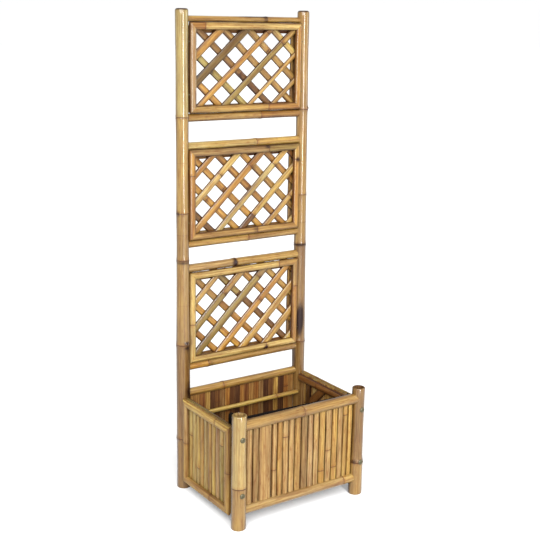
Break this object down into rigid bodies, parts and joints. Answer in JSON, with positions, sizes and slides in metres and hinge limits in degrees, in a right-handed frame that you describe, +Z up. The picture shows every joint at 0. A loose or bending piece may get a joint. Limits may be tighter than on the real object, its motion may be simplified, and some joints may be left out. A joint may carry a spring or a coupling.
{
  "type": "planter with trellis",
  "caption": "Free-standing bamboo planter box on cane posts with a tall back trellis of framed diagonal lattice panels and a black liner.",
  "frame": {"origin": "on the floor, at the middle of the four posts", "axes": "+X to the right seen from the front, +Y from the front to the trellis, +Z up"},
  "size_m": [0.4448, 0.3433, 1.35],
  "materials": {
    "post_cane": "lacquered bamboo cane, glossy",
    "rail_cane": "lacquered bamboo cane, satin to glossy",
    "rod_cane": "thin lacquered bamboo cane",
    "lattice_strip": "split bamboo, satin lacquer",
    "frame_strip": "split bamboo, satin lacquer",
    "inner_strip": "split bamboo, stained darker",
    "wall_slat": "split bamboo slats, satin",
    "liner": "thin black plastic",
    "screw": "zinc-plated steel, dulled",
    "nail": "plain steel",
    "dowel": "whittled bamboo"
  },
  "bodies": {
    "root": {"back_bottom_rail": "rail_cane", "back_slats": "wall_slat", "box_back_rail": "rail_cane", "floor_bearers": "rail_cane", "floor_slats": "wall_slat", "front_bottom_rail": "rail_cane", "front_slats": "wall_slat", "front_top_rail": "rail_cane", "inner_rod": "rod_cane", "liner": "liner", "panel_1_back_frame": "frame_strip", "panel_1_frame_bottom": "frame_strip", "panel_1_frame_left": "frame_strip", "panel_1_frame_right": "frame_strip", "panel_1_frame_top": "frame_strip", "panel_1_lattice_front": "lattice_strip", "panel_1_lattice_rear": "lattice_strip", "panel_2_back_frame": "frame_strip", "panel_2_frame_bottom": "frame_strip", "panel_2_frame_left": "frame_strip", "panel_2_frame_right": "frame_strip", "panel_2_frame_top": "frame_strip", "panel_2_lattice_front": "lattice_strip", "panel_2_lattice_rear": "lattice_strip", "panel_3_back_frame": "frame_strip", "panel_3_frame_bottom": "frame_strip", "panel_3_frame_left": "frame_strip", "panel_3_frame_right": "frame_strip", "panel_3_frame_top": "frame_strip", "panel_3_lattice_front": "lattice_strip", "panel_3_lattice_rear": "lattice_strip", "panel_nails": "nail", "post_back_left": "post_cane", "post_back_right": "post_cane", "post_front_left": "post_cane", "post_front_right": "post_cane", "rail_pins": "dowel", "side_left_brace": "inner_strip", "side_left_frame_bottom": "frame_strip", "side_left_frame_front": "frame_strip", "side_left_frame_rear": "frame_strip", "side_left_frame_top": "frame_strip", "side_left_inner_frame": "inner_strip", "side_left_slats": "wall_slat", "side_panel_screws": "screw", "side_right_brace": "inner_strip", "side_right_frame_bottom": "frame_strip", "side_right_frame_front": "frame_strip", "side_right_frame_rear": "frame_strip", "side_right_frame_top": "frame_strip", "side_right_inner_frame": "inner_strip", "side_right_slats": "wall_slat", "trellis_rail_1": "rail_cane", "trellis_rail_2": "rail_cane", "trellis_rail_3": "rail_cane", "trellis_rail_4": "rail_cane", "trellis_rail_5": "rail_cane", "trellis_rail_6": "rail_cane"}
  },
  "joints": []
}
